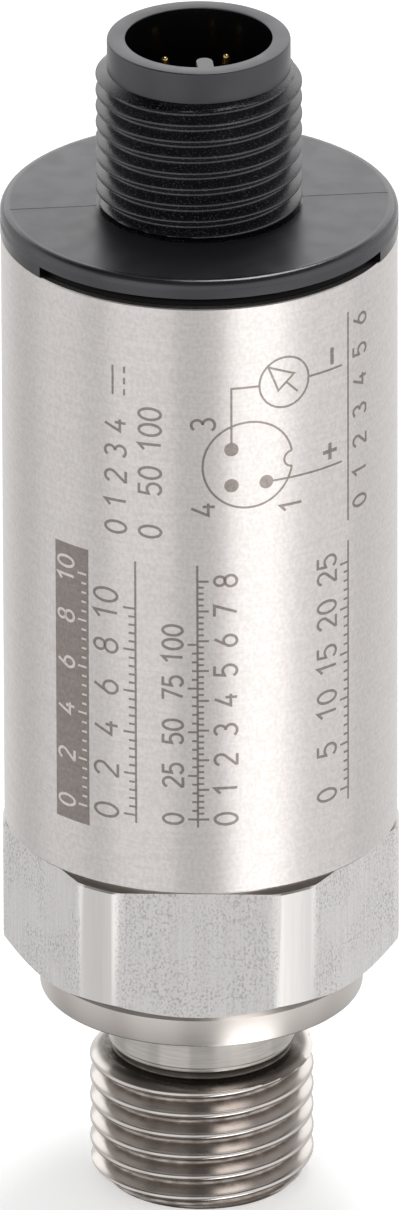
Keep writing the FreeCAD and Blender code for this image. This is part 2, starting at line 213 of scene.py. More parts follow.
table_mesh = bpy.data.meshes.new("table")
half = table_half * mm
table_mesh.from_pydata([(-half, -half, 0), (half, -half, 0), (half, half, 0), (-half, half, 0)],
                       [], [(0, 1, 2, 3)])
table = bpy.data.objects.new("table", table_mesh)
bpy.context.scene.collection.objects.link(table)
paper = Finish("white_paper", {"Base Color": (table_white, table_white, table_white, 1),
                               "Roughness": 0.9, "Emission Color": (1, 1, 1, 1)})
paper.feed(paper.shader.inputs["Emission Strength"],
           paper.node("ShaderNodeLightPath", out="Is Camera Ray") * table_lift)
table_mesh.materials.append(paper.material)
table.visible_glossy = False

for name, lamp in lamps.items():
    light = bpy.data.lights.new(name, "AREA")
    light.shape = "RECTANGLE"
    light.size = lamp["wide"] * mm
    light.size_y = lamp["tall"] * mm
    light.energy = lamp["bright"] * math.pi * light.size * light.size_y
    holder = bpy.data.objects.new(name, light)
    azimuth, elevation = math.radians(lamp["azimuth"]), math.radians(lamp["elevation"])
    towards = Vector((math.sin(azimuth) * math.cos(elevation), -math.cos(azimuth) * math.cos(elevation),
                      math.sin(elevation)))
    holder.location = towards * lamp["distance"] * mm
    holder.rotation_euler = (math.pi / 2 - elevation, 0, azimuth)
    holder.visible_camera = False
    bpy.context.scene.collection.objects.link(holder)

camera_data = bpy.data.cameras.new("camera")
camera_data.sensor_fit = "VERTICAL"
camera_data.sensor_height = sensor_height
camera_data.lens = sensor_height * lens_per_sensor
camera = bpy.data.objects.new("camera", camera_data)
target = Vector((-camera_left, 0, middle_height)) * mm
backwards = Vector((0, -math.cos(look_down), math.sin(look_down)))
camera.location = target + backwards * camera_distance * mm
camera.rotation_mode = "QUATERNION"
camera.rotation_quaternion = (-backwards).to_track_quat("-Z", "Y") @ Quaternion((0, 0, 1), camera_roll)
bpy.context.scene.collection.objects.link(camera)
bpy.context.scene.camera = camera
bpy.context.scene.view_settings.view_transform = "Standard"


# ---- Process port ----
# One piece of round stainless bar: turned thread, neck, sealing collar and cup, with six flats
# milled for the spanner. The corners between the flats keep the turned face of the bar.
port_columns_flat = 32
port_columns_corner = 8
bar_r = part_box("process_port")[1].x / mm
flat_r = 10.5
hex_turn = -1.45
hex_top = 22.7
collar_r = 9.4
collar_bottom = 12.35
collar_top = 14.08
cone_step = 0.15
cone_h = 1.4
edge_break = 0.1
neck_stub_r = 5.45
neck_round = 0.3
undercut_r = 5.15
undercut_low = 8.2
undercut_high = 8.7
undercut_round = 0.12
turned_line = 9.0
turned_line_depth = 0.04
g_thread_r = 6.525
g_pitch = 1.337
g_flank = math.radians(27.5)
g_depth = 0.856
g_front_crest = 1.11
g_tip_r = 5.6
g_tip_h = 0.95
g_end = 8.0
g_root_r = g_thread_r - g_depth
inlet_r = 2.5
inlet_lip = 0.25
spigot_r = 10.4
spigot_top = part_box("process_port")[1].z / mm
cup_r = 9.1
cup_floor = 26.6
port_groove_low = 24.2
port_groove_high = 26.1
port_groove_r = 9.3
cell_groove_in = 5.5
cell_groove_out = 7.7
cell_groove_depth = 1.3
inlet_mouth_r = 4.0
inlet_mouth_depth = 0.4
sharp_from = math.radians(32)
turned_light = (0.44, 0.415, 0.39, 1)
turned_dark = (0.40, 0.375, 0.35, 1)
# Painted light: the collar gets a lighter copy of the turned steel than the neck.
collar_painted_lighter = (0.57, 0.532, 0.503, 1)
# Painted shade: the thread gets a darker copy of the same turned steel.
thread_painted_darker = (0.485, 0.452, 0.429, 1)
# Colour of the darker patches in the thread roots.
root_patch_colour = (0.18, 0.148, 0.125, 1)
# Painted shade: a near-black band on the chamfer at the top of the thread, below the undercut.
shoulder_painted_shade = (0.05, 0.042, 0.036, 1)
shoulder_span = (6.3, 5.9)
shoulder_h = 0.7
root_span = 0.35
bar_light = (0.70, 0.68, 0.66, 1)
bar_dark = (0.62, 0.60, 0.58, 1)
flat_light = (0.78, 0.76, 0.745, 1)
flat_dark = (0.30, 0.285, 0.275, 1)


def make_piece(name, vertices, faces):
    """A mesh object from points in millimetres: doubles merged, smooth but for its sharp edges."""
    mesh = bpy.data.meshes.new(name)
    mesh.from_pydata((vertices * mm).tolist(), [], faces.tolist())
    work = bmesh.new()
    work.from_mesh(mesh)
    bmesh.ops.remove_doubles(work, verts=work.verts, dist=1e-7)
    bmesh.ops.delete(work, geom=[edge for edge in work.edges if edge.is_wire], context="EDGES")
    work.to_mesh(mesh)
    work.free()
    mesh.shade_smooth()
    mesh.set_sharp_from_angle(angle=sharp_from)
    piece = bpy.data.objects.new(name, mesh)
    bpy.context.scene.collection.objects.link(piece)
    return piece


def skin(points, seam=None):
    """Vertices and faces of a closed skin over points[row, column].

    Columns run once round the axis and rows once round the section. The last column meets the
    first one in the same row, or in the row that seam gives for it.
    """
    rows, columns = points.shape[:2]
    meets = np.arange(rows) if seam is None else seam
    row, column = np.meshgrid(np.arange(rows), np.arange(columns), indexing="ij")

    def corner(down, along):
        line = (row + down) % rows
        place = column + along
        return np.where(place == columns, meets[line] * columns, line * columns + place)

    quads = np.stack([corner(0, 0), corner(0, 1), corner(1, 1), corner(1, 0)], -1)
    return points.reshape(-1, 3), quads.reshape(-1, 4)


def joined(parts):
    """Several skins as one list of vertices and faces."""
    starts = np.cumsum([0] + [len(vertices) for vertices, faces in parts[:-1]])
    return (np.concatenate([vertices for vertices, faces in parts]),
            np.concatenate([faces + start for (vertices, faces), start in zip(parts, starts)]))


def ring(angle, radius, height):
    """One row of points: radius times the cosine and the sine of the angle, and the height."""
    return np.stack(np.broadcast_arrays(radius * np.cos(angle), radius * np.sin(angle), height), -1)


def bend(centre, radius, start, end, steps=6):
    """Points (radius, height) of a section on an arc about a centre, angles in degrees."""
    turn = np.radians(np.linspace(start, end, steps + 1))
    return list(zip(centre[0] + radius * np.cos(turn), centre[1] + radius * np.sin(turn)))


def thread_arc(pitch, flank, depth):
    """Radius of the arcs that join the straight flanks of a V thread to its crest and root."""
    return (pitch / 4 / math.tan(flank) - depth / 2) / (1 / math.sin(flank) - 1)


def thread_drop(distance, pitch, flank, depth):
    """Depth below the crest at a distance along the axis: crest arc, straight flank, root arc.

    The root half of the section is the crest half turned upside down about the middle of the flank.
    """
    away = np.abs((distance / pitch + 0.5) % 1 - 0.5) * pitch
    near = np.minimum(away, pitch / 2 - away)
    arc = thread_arc(pitch, flank, depth)
    curved = np.minimum(near, arc * math.cos(flank))
    drop = arc - np.sqrt(arc ** 2 - curved ** 2) + (near - curved) / math.tan(flank)
    return np.where(away < pitch / 4, drop, depth - drop)


def thread_rows(angle, low, high, crest_r, crest_front, pitch, flank, depth, blank):
    """Rows of a right-hand thread, and how many of them make one pitch.

    Each row is one point of the section carried along the helix, row height + pitch * turns,
    held between low and high. The radius is the smaller one of the section and of the blank,
    which is a function of the height. The first row lies at low and the last one at high.
    """
    arc = thread_arc(pitch, flank, depth)
    tilt = np.linspace(flank - math.pi / 2, math.pi / 2 - flank, 9)
    run = np.linspace(arc * math.cos(flank), pitch / 2 - arc * math.cos(flank), 6)[1:-1]
    section = np.concatenate([arc * np.sin(tilt), run, pitch / 2 + arc * np.sin(tilt), pitch / 2 + run])
    turns = (angle - angle[0]) / (2 * math.pi)
    front = (-math.pi / 2 - angle[0]) / (2 * math.pi)
    first = crest_front - pitch * front
    count = np.arange(math.floor((low - first) / pitch) - 2, math.ceil((high - first) / pitch) + 1)
    base = first + (count[:, None] * pitch + section[None, :]).ravel()
    height = np.clip(base[:, None] + pitch * turns[None, :], low, high)
    drop = thread_drop(height - first - pitch * turns[None, :], pitch, flank, depth)
    radius = np.minimum(crest_r - drop, blank(height))
    return ring(angle[None, :], radius, height), len(section)


def with_thread(before, thread, after, per_pitch):
    """Stacks plain rows, thread rows and plain rows, and gives the seam of the helix."""
    count = len(thread)
    seam = np.arange(len(before) + count + len(after))
    seam[len(before):len(before) + count] = len(before) + np.minimum(np.arange(count) + per_pitch,
                                                                     count - 1)
    return np.concatenate([np.stack(before), thread, np.stack(after)]), seam


half_flat = math.degrees(math.acos(flat_r / bar_r))
sector_angles = np.concatenate([
    np.linspace(-half_flat, half_flat, port_columns_flat, endpoint=False),
    np.linspace(half_flat, 60 - half_flat, port_columns_corner, endpoint=False)])
port_angle = np.radians(np.concatenate(
    [hex_turn + 60 * flat - 270 + sector_angles for flat in range(6)]))
from_flat = np.radians(np.tile(np.where(sector_angles > 30, sector_angles - 60, sector_angles), 6))
hex_r = np.minimum(bar_r, flat_r / np.cos(from_flat))


def port_blank(height):
    """Radius of the turned blank before threading: lead-in cone, crest and the chamfer behind it."""
    return np.interp(height, [0, g_tip_h, g_end, undercut_low],
                     [g_tip_r, g_thread_r, g_thread_r, g_tip_r])


g_rows, g_per_pitch = thread_rows(port_angle, 0.0, undercut_low, g_thread_r, g_front_crest, g_pitch,
                                  g_flank, g_depth, port_blank)
port_bottom = [(inlet_r, inlet_lip), (inlet_r + inlet_lip, 0)]
undercut_middle_r = undercut_r + undercut_round
port_neck = bend((undercut_middle_r, undercut_low + undercut_round), undercut_round, 270, 180, 3)
port_neck += bend((undercut_middle_r, undercut_high - undercut_round), undercut_round, 180, 90, 3)
port_neck += bend((neck_stub_r - edge_break, undercut_high + edge_break), edge_break, -90, 0, 3)
port_neck += [(neck_stub_r, turned_line - turned_line_depth),
              (neck_stub_r - turned_line_depth, turned_line),
              (neck_stub_r, turned_line + turned_line_depth)]
port_neck += bend((neck_stub_r + neck_round, collar_bottom - neck_round), neck_round, 180, 90)
port_neck += bend((collar_r - edge_break, collar_bottom + edge_break), edge_break, -90, 0, 3)
port_neck += [(collar_r, collar_top), (collar_r + cone_step, collar_top)]
cell_groove_floor = cup_floor - cell_groove_depth
inlet_mouth = cup_floor - inlet_mouth_depth
port_cup = [(spigot_r, hex_top), (spigot_r, port_groove_low), (port_groove_r, port_groove_low),
            (port_groove_r, port_groove_high), (spigot_r, port_groove_high),
            (spigot_r, spigot_top - edge_break), (spigot_r - edge_break, spigot_top),
            (cup_r, spigot_top), (cup_r, cup_floor), (cell_groove_out, cup_floor),
            (cell_groove_out, cell_groove_floor), (cell_groove_in, cell_groove_floor),
            (cell_groove_in, cup_floor), (inlet_mouth_r, cup_floor), (inlet_mouth_r, inlet_mouth),
            (inlet_r, inlet_mouth)]
cone_r = collar_r + cone_step
hex_low = collar_top + cone_h * (hex_r - cone_r) / (bar_r - cone_r)
port_after = [ring(port_angle, radius, height) for radius, height in port_neck]
port_after += [ring(port_angle, hex_r, hex_low), ring(port_angle, hex_r, hex_top - edge_break),
               ring(port_angle, np.minimum(hex_r, bar_r - edge_break), hex_top)]
port_after += [ring(port_angle, radius, height) for radius, height in port_cup]
port_before = [ring(port_angle, radius, height) for radius, height in port_bottom]
port_points, port_seam = with_thread(port_before, g_rows, port_after, g_per_pitch)
process_port = make_piece("process_port_turned", *skin(port_points, port_seam))


def port_finish():
    """Turned steel, fine rings, painted light and shade; the thread is worn, the flats matt and pitted.
    """
    finish = Finish("turned_and_milled_steel", {"Metallic": 1.0, "Anisotropic": 0.6,
                                                "Anisotropic Rotation": 0.25})
    here = finish.place()
    x, y, z = finish.parts(here)
    radius = (x * x + y * y) ** 0.5
    lines = finish.noise(finish.vector(x * 0.05, y * 0.05, z + radius * 0.73), 9.0, 3.0)
    outward = 0.0
    for step in range(3):
        side_angle = math.radians(hex_turn + 60 * step - 90)
        reach = finish.maths("ABSOLUTE", x * math.cos(side_angle) + y * math.sin(side_angle))
        outward = finish.maths("MAXIMUM", reach, outward)
    milled = finish.maths("GREATER_THAN", outward, flat_r - 0.006)
    bar_face = finish.maths("GREATER_THAN", radius, bar_r - 0.01) * (1 - milled)
    turned = 1 - milled - bar_face

    feed_lines = finish.noise(finish.vector(x, y, z * 0.03), 5.0, 3.0)
    grain = finish.noise(finish.vector(x, y, z * 0.7), 8.0, 1.5)
    patch = finish.between(finish.noise(here, 0.3, 1.0), 0.3, 0.6, 0.25, 1.0)
    pits = finish.between(grain, 0.55, 0.30) * patch
    flat_tone = finish.between(feed_lines, 0.3, 0.7, 0.0, 0.12) + pits * 0.5
    flat_colour = finish.mix(flat_tone, flat_light, flat_dark)

    threaded = finish.maths("LESS_THAN", z, undercut_high)
    root = finish.between(radius, g_thread_r - root_span, g_root_r) * threaded
    wear = finish.noise(finish.vector(x * 0.5, y * 0.5, z * 2.0), 2.5, 4.0)
    # Darker, rougher patches in the thread roots.
    root_patches = root * finish.between(wear, 0.3, 0.65, 0.4, 0.95)
    ring_colour = finish.mix(finish.between(lines, 0.35, 0.65), turned_light, turned_dark)
    collar = finish.maths("GREATER_THAN", z, collar_bottom - neck_round)
    # Painted light: the collar is lighter than the neck, though both are the same turned steel.
    ring_colour = finish.mix(collar, ring_colour, collar_painted_lighter)
    # Painted shade: the thread is darker than the neck, though it is the same steel.
    ring_colour = finish.mix(threaded, ring_colour, thread_painted_darker)
    ring_colour = finish.mix(root_patches, ring_colour, root_patch_colour)
    # Painted shade on the chamfer at the top of the thread, below the undercut.
    shaded_shoulder = finish.between(radius, *shoulder_span) * finish.between(z, g_end - shoulder_h, g_end)
    ring_colour = finish.mix(shaded_shoulder * threaded * 0.8, ring_colour, shoulder_painted_shade)
    bar_colour = finish.mix(feed_lines, bar_light, bar_dark)
    colour = finish.mix(milled, finish.mix(bar_face, ring_colour, bar_colour), flat_colour)
    rough_turned = finish.between(lines, 0.3, 0.7, 0.16, 0.20) + root_patches * 0.14 + collar * 0.14
    roughness = turned * rough_turned + bar_face * 0.26 + milled * 0.40
    height = turned * lines * 0.04 + threaded * wear * 0.5 + (1 - turned) * feed_lines * 0.1
    return finish.dress(colour, roughness, height - pits * milled * 0.5, 0.006)


process_port.data.materials.append(port_finish())
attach(process_port, "root")
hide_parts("process_port")


# ---- Housing tube ----
# Turned from stainless tube and brushed round and round, pressed over the port and closed by the
# cap. It has no seam; both ends carry a small chamfer.
tube_columns = 256
tube_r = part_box("housing_tube")[1].x / mm
tube_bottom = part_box("housing_tube")[0].z / mm
tube_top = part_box("housing_tube")[1].z / mm
tube_bore = 10.05
tube_seat_r = 10.92
tube_seat = 0.9
tube_chamfer = 0.15
tube_edge = 0.06
snap_height = 57.0
snap_depth = 0.2
snap_half = 0.6


def lathe(name, outline, columns):
    """A turned piece: a closed section (radius, height), anticlockwise, carried round the axis."""
    angle = np.linspace(0, 2 * math.pi, columns, endpoint=False)
    points = np.stack([ring(angle, radius, height) for radius, height in outline])
    return make_piece(name, *skin(points))


tube_low_r = spigot_r + 0.05
housing_tube = lathe("housing_tube_brushed", [
    (tube_low_r + edge_break, tube_bottom), (tube_r - tube_chamfer, tube_bottom),
    (tube_r, tube_bottom + tube_chamfer), (tube_r, tube_top - tube_edge),
    (tube_r - tube_edge, tube_top), (tube_seat_r, tube_top), (tube_seat_r, tube_top - tube_seat),
    (tube_bore, tube_top - tube_seat), (tube_bore, snap_height + snap_half),
    (tube_bore + snap_depth, snap_height + snap_depth),
    (tube_bore + snap_depth, snap_height - snap_depth),
    (tube_bore, snap_height - snap_half), (tube_bore, spigot_top),
    (tube_low_r, spigot_top), (tube_low_r, tube_bottom + edge_break)], tube_columns)


def tube_finish(name, light, dark, constants):
    """Stainless steel brushed round the axis: fine grain, short scratches and a few longer ones."""
    finish = Finish(name, constants)
    x, y, z = finish.parts(finish.place())
    grain = finish.noise(finish.vector(x, y, z * 0.8), 5.0, 1.5)
    rings = finish.noise(finish.vector(x * 0.03, y * 0.03, z), 7.0, 3.0)
    scratch = finish.noise(finish.vector(x * 0.12, y * 0.12, z), 8.0, 2.0)
    near_cap = finish.between(z, tube_top - 9, tube_top, 0.15, 0.8)
    scratches = finish.between(scratch, 0.60, 0.72) * near_cap
    tone = finish.between(grain * 0.6 + rings * 0.2 + scratch * 0.2, 0.36, 0.64)
    colour = finish.mix(scratches * 0.5, finish.mix(tone, light, dark), (0.80, 0.78, 0.76, 1))
    roughness = finish.between(rings, 0.3, 0.7, 0.30, 0.35)
    return finish.dress(colour, roughness, rings * 0.3 + scratch * 0.3 + grain * 0.5, 0.0008)


brushed = {"Metallic": 1.0, "Anisotropic": 0.8, "Anisotropic Rotation": 0.25}
brushed_steel = tube_finish("brushed_steel", (0.69, 0.655, 0.64, 1), (0.61, 0.575, 0.555, 1), brushed)
housing_tube.data.materials.append(brushed_steel)
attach(housing_tube, "root")
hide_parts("housing_tube")


# ---- Laser marks ----
# Figures, scales and the wiring sign are annealed into the tube by a laser, warm grey and without
# depth; the figures in the dark field are left bare. All are read with the process thread at the
# left.
mark_lift = 0.006
bare_lift = 0.012
mark_sunk = 0.03
mark_line = 0.13
figure_line = 0.17
mark_step = 0.3
scale_low = 27.4
scale_high = 44.0
scale_foot = scale_low + 0.5
left_scale = -3.8
middle_scale = -0.17
right_scale = 9.58
edge_figures = 10.65
figures_low = 46.0
figures_high = 52.4
ticks_per_number = 5
long_tick = 0.5
short_tick = 0.28
number_out = 1.25
edge_step = 1.9
direct_line = -5.15
direct_dashes = -4.43
direct_dash = 0.4


def on_tube(places, lift):
    """Points on the tube for places (round, up): millimetres of arc from the front, and height."""
    angle = places[..., 0] / tube_r - math.pi / 2
    return ring(angle, tube_r + lift, places[..., 1])


def ribbon(path, width, closed=False, lift=mark_lift):
    """A closed flat bar along a path of places, mitred at its corners and pointed at its ends."""
    path = np.array(path, float)
    count = len(path) - (0 if closed else 1)
    pieces = []
    for start, end in zip(path[:count], np.roll(path, -1, 0)[:count]):
        steps = max(1, math.ceil(abs(end[0] - start[0]) / mark_step))
        pieces.append(start + (end - start) * np.arange(steps)[:, None] / steps)
    path = np.concatenate(pieces + ([] if closed else [path[-1:]]))
    ahead = np.roll(path, -1, 0) - path
    behind = path - np.roll(path, 1, 0)
    if not closed:
        ahead[-1] = behind[-1]
        behind[0] = ahead[0]
    ahead /= np.linalg.norm(ahead, axis=1)[:, None]
    behind /= np.linalg.norm(behind, axis=1)[:, None]
    along = (ahead + behind) / np.linalg.norm(ahead + behind, axis=1)[:, None]
    mitre = np.sum(along * ahead, 1)[:, None]
    right = np.stack([along[:, 1], -along[:, 0]], -1) * width / 2 / mitre
    rows = np.stack([on_tube(path - right, lift), on_tube(path + right, lift),
                     on_tube(path + right, -mark_sunk), on_tube(path - right, -mark_sunk)], 1)
    if not closed:
        ends = [np.broadcast_to(on_tube(path[place], -mark_sunk / 2), (1, 4, 3)) for place in (0, -1)]
        rows = np.concatenate([ends[0], rows, ends[1]])
    return skin(rows)


def oval(centre, wide, high, start=0.0, end=360.0, steps=32):
    """Points on an ellipse between two angles in degrees."""
    turn = np.radians(np.linspace(start, end, steps + 1))
    return list(zip(centre[0] + wide * np.cos(turn), centre[1] + high * np.sin(turn)))


def spot(centre, radius):
    """A round filled mark."""
    edge = np.array(oval(centre, radius, radius)[:-1])
    middle = np.broadcast_to(np.array(centre, float), edge.shape)
    return skin(np.stack([on_tube(middle, -mark_sunk), on_tube(edge, -mark_sunk),
                          on_tube(edge, mark_lift), on_tube(middle, mark_lift)]))


figure_wide = 0.56
figure_gap = 0.2
figures = {
    "0": [oval((0.28, 0.5), 0.27, 0.5)],
    "1": [[(0.08, 0.76), (0.34, 1.0), (0.34, 0.0)]],
    "2": [oval((0.28, 0.72), 0.26, 0.28, 165, -38, 12) + [(0.02, 0.02)], [(0.0, 0.0), (0.56, 0.0)]],
    "3": [oval((0.26, 0.75), 0.24, 0.25, 150, -85, 12), oval((0.26, 0.26), 0.28, 0.26, 85, -150, 12)],
    "4": [[(0.34, 1.0), (0.02, 0.28), (0.58, 0.28)], [(0.42, 0.52), (0.42, 0.0)]],
    "5": [[(0.5, 1.0), (0.08, 1.0), (0.04, 0.56)] + oval((0.26, 0.32), 0.28, 0.32, 125, -150, 14)],
    "6": [oval((0.28, 0.3), 0.26, 0.3), [(0.04, 0.4), (0.36, 1.0)]],
    "7": [[(0.02, 1.0), (0.54, 1.0), (0.2, 0.0)]],
    "8": [oval((0.28, 0.76), 0.22, 0.24), oval((0.28, 0.27), 0.27, 0.27)],
}


def figure_row(number, place, size, lift=mark_lift):
    """A plain number that is read upwards, its middle at a place on the tube."""
    text = str(number)
    advance = figure_wide + figure_gap
    start = place[1] - (advance * len(text) - figure_gap) * size / 2
    strokes = []
    for count, figure in enumerate(text):
        for stroke in figures[figure]:
            points = [(place[0] + size / 2 - up * size, start + (count * advance + across) * size)
                      for across, up in stroke]
            closed = math.dist(points[0], points[-1]) < mark_line / 10
            strokes.append(ribbon(points[:-1] if closed else points, figure_line, closed, lift))
    return strokes


def scale(line, low, high, side, numbers, size, lift=mark_lift):
    """Ticks on one side of a line, long ones at the numbers, and the numbers beside them."""
    strokes = []
    pitch = (high - low) / (len(numbers) - 1) / ticks_per_number
    for count in range((len(numbers) - 1) * ticks_per_number + 1):
        height = low + count * pitch
        reach = size * (long_tick if count % ticks_per_number == 0 else short_tick)
        strokes.append(ribbon([(line, height), (line + side * reach, height)], mark_line, lift=lift))
    for count, number in enumerate(numbers):
        place = (line + side * size * number_out, low + count * pitch * ticks_per_number)
        strokes += figure_row(number, place, size, lift=lift)
    return strokes


def wiring_sign():
    """The standard sign of a two-wire loop: plug face with pins 1, 3 and 4, meter and the two poles."""
    face, face_r, notch_r = (2.83, 50.2), 2.68, 0.48
    half_notch = math.degrees(math.asin(notch_r / face_r))
    strokes = [ribbon(oval(face, face_r, face_r, half_notch, 360 - half_notch, 64), mark_line)]
    notch_middle = (face[0] + face_r * math.cos(math.radians(half_notch)), face[1])
    strokes.append(ribbon(oval(notch_middle, notch_r, notch_r, 90, 270, 12), mark_line))
    spots = {3: (1.81, 51.25), 4: (1.81, 48.98), 1: (3.87, 49.0)}
    strokes += [spot(place, 0.42) for place in spots.values()]
    for number, place in ((3, (0.18, 52.87)), (4, (0.17, 47.52)), (1, (5.41, 47.24))):
        strokes += figure_row(number, place, 1.35)
    meter, meter_r, wire_end = (5.02, 55.06), 1.56, 9.05
    strokes.append(ribbon(oval(meter, meter_r, meter_r)[:-1], mark_line, True))
    wires = [[spots[3], (spots[3][0], meter[1]), (meter[0] - meter_r, meter[1])],
             [(meter[0] + meter_r, meter[1]), (wire_end, meter[1])],
             [spots[1], (wire_end, spots[1][1])]]
    strokes += [ribbon(wire, mark_line) for wire in wires]
    tip, left, right = (4.0, 56.15), (4.62, 54.6), (5.62, 55.5)
    strokes.append(ribbon([tip, left, right], mark_line, True))
    strokes.append(ribbon([(5.12, 55.05), (5.85, 54.32)], mark_line))
    strokes.append(ribbon([(8.28, 55.35), (8.28, 56.4)], 0.26))
    strokes.append(ribbon([(8.12, 49.42), (8.12, 50.46)], 0.24))
    strokes.append(ribbon([(7.6, 49.94), (8.64, 49.94)], 0.24))
    return strokes


marks = wiring_sign()
field_left, field_right = -9.3, -6.82
field_low, field_high = 26.6, 44.1
field_middle = (field_low + field_high) / 2
marks.append(ribbon([(field_left, field_middle), (field_right, field_middle)], field_high - field_low))
for line, low, high in ((left_scale, scale_low, scale_high), (middle_scale, scale_low, scale_high),
                        (right_scale, scale_low, 43.85), (right_scale, 45.1, 58.2)):
    marks.append(ribbon([(line, low), (line, high)], mark_line))
marks += scale(left_scale, scale_foot, scale_high - 3.0, -1, (0, 2, 4, 6, 8, 10), 1.5)
marks += scale(middle_scale, scale_foot, scale_high - 5.0, -1, (0, 25, 50, 75, 100), 1.15)
marks += scale(middle_scale, scale_foot, scale_high - 1.0, 1, (0, 1, 2, 3, 4, 5, 6, 7, 8), 1.3)
marks += scale(right_scale, scale_low + 0.8, scale_high - 1.5, -1, (0, 5, 10, 15, 20, 25), 1.35)
for number in range(7):
    marks += figure_row(number, (edge_figures, figures_low + number * edge_step), 1.2)
for column, numbers in ((-5.0, (0, 1, 2, 3, 4)), (-2.9, (0, 50, 100))):
    for count, number in enumerate(numbers):
        height = figures_low + (figures_high - figures_low) * count / (len(numbers) - 1)
        marks += figure_row(number, (column, height), 1.3)
# The sign for direct current: a line over three dashes.
marks.append(ribbon([(direct_line, 54.3), (direct_line, 56.15)], mark_line))
marks += [ribbon([(direct_dashes, start), (direct_dashes, start + direct_dash)], mark_line)
          for start in (54.35, 55.05, 55.75)]
laser_marks = make_piece("laser_marks", *joined(marks))
laser_marks.data.materials.append(tube_finish("annealed_steel", (0.30, 0.265, 0.245, 1),
                                              (0.25, 0.22, 0.205, 1), brushed))
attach(laser_marks, "root")

field_figures = make_piece("field_figures", *joined(
    scale(field_right - 0.15, field_low + 1.2, field_high - 1.6, -1, (0, 2, 4, 6, 8, 10), 1.2,
          lift=bare_lift)))
field_figures.data.materials.append(brushed_steel)
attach(field_figures, "root")


# ---- Connector cap ----
# One moulding in black glass-filled plastic: flange, M12 thread, socket with its key, and the
# plug with the groove of the sealing ring. Two slots under the flange show the ring.
cap_columns = 240
cap_turn = 6.0
slot_span = 118.0
cap_low, cap_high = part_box("connector_cap")
flange_r = cap_high.x / mm
rim = cap_high.z / mm
plug_bottom = cap_low.z / mm
flange_bottom = 60.76
flange_top = 61.8
flange_round = 0.52
skirt_in = 10.97
groove_r = 9.4
plug_r = 10.0
plug_lead = 0.4
hollow_r = 8.6
ledge_r = 7.0
ledge_height = 58.54
web_bottom = 59.39
m_thread_r = 5.925
m_pitch = 1.0
m_flank = math.radians(30)
m_depth = 0.613
m_front_crest = 62.07
m_foot = 0.3
neck_bottom = 70.2
neck_cone = 0.35
neck_r = 5.265
rim_edge = 0.12
socket_r = 4.215
socket_floor = 62.59
key_w = 1.0
key_reach = 1.65
key_drop = 0.15
key_root = 0.3
key_foot = 0.2
key_soft = 0.08
black = (0.016, 0.0153, 0.0185, 1)
# Painted shade: the cap's thread gets a darker copy of the black plastic.
thread_shaded_black = (0.005, 0.0048, 0.0058, 1)
# Painted highlight: grey specks on the thread stand in for glints off its grain.
glint_grey = (0.055, 0.053, 0.058, 1)
# Painted shade: the socket and the hidden faces under the flange are painted near black.
hollow_painted_shade = (0.003, 0.003, 0.003, 1)
edge_gloss = 0.13

slot_ends = cap_turn - 90 + np.array([-slot_span / 2, slot_span / 2, 180 - slot_span / 2,
                                      180 + slot_span / 2, 360 - slot_span / 2])
cap_spans = [np.linspace(start, end, round(cap_columns * (end - start) / 360) + 1)
             for start, end in zip(slot_ends, slot_ends[1:])]
cap_angle = np.radians(np.concatenate(cap_spans))
in_slot = np.concatenate([np.full(len(part), place % 2 == 0) for place, part in enumerate(cap_spans)])
skirt_bottom = np.where(in_slot, flange_bottom, tube_top)


def cap_blank(height):
    """Radius of the sleeve before threading: foot on the flange, crest, cone to the plain neck."""
    return np.interp(height, [flange_top, flange_top + m_foot, neck_bottom - neck_cone, neck_bottom],
                     [m_thread_r - m_depth, m_thread_r, m_thread_r, neck_r])


m_rows, m_per_pitch = thread_rows(cap_angle, flange_top, neck_bottom, m_thread_r, m_front_crest,
                                  m_pitch, m_flank, m_depth, cap_blank)
seat_height = tube_top - tube_seat
cap_before = [(0, web_bottom), (ledge_r, web_bottom), (ledge_r, ledge_height), (hollow_r, ledge_height),
              (hollow_r, plug_bottom), (plug_r - plug_lead, plug_bottom),
              (plug_r, plug_bottom + plug_lead), (plug_r, snap_height - snap_depth),
              (plug_r + snap_depth, snap_height), (plug_r, snap_height + snap_depth),
              (plug_r, seat_height), (groove_r, seat_height), (groove_r, flange_bottom),
              (skirt_in, flange_bottom), (skirt_in, skirt_bottom), (flange_r, skirt_bottom),
              (flange_r, flange_bottom)]
cap_before += bend((flange_r - flange_round, flange_top - flange_round), flange_round, 0, 90, 10)
cap_after = [(neck_r, rim - rim_edge)]
cap_after += bend((neck_r - rim_edge, rim - rim_edge), rim_edge, 0, 90, 4)
cap_after += bend((socket_r + rim_edge / 2, rim - rim_edge / 2), rim_edge / 2, 90, 180, 3)
cap_after += [(socket_r, socket_floor), (0, socket_floor)]
cap_points, cap_seam = with_thread([ring(cap_angle, *place) for place in cap_before], m_rows,
                                   [ring(cap_angle, *place) for place in cap_after], m_per_pitch)


def key_rib():
    """The key in the socket: a bar with a round nose, from the floor to just under the rim."""
    nose = socket_r - key_reach + key_w / 2
    turn = np.linspace(0, math.pi, 17)
    across = np.concatenate([key_w / 2 * np.cos(turn), [-key_w / 2, key_w / 2]])
    inward = np.concatenate([nose - key_w / 2 * np.sin(turn), [socket_r + key_root] * 2])
    angle = math.radians(cap_turn - 90)
    across_x, across_y = -math.sin(angle), math.cos(angle)
    x = inward * math.cos(angle) - across * across_x
    y = inward * math.sin(angle) - across * across_y
    middle_x, middle_y = x.mean(), y.mean()
    foot, top = socket_floor - key_foot, rim - key_drop
    rows = []
    for share, height in ((0, foot), (1, foot), (1, top - key_soft), (1 - key_soft, top), (0, top)):
        rows.append(np.stack([middle_x + (x - middle_x) * share, middle_y + (y - middle_y) * share,
                              np.full(len(x), height)], -1))
    return skin(np.stack(rows))


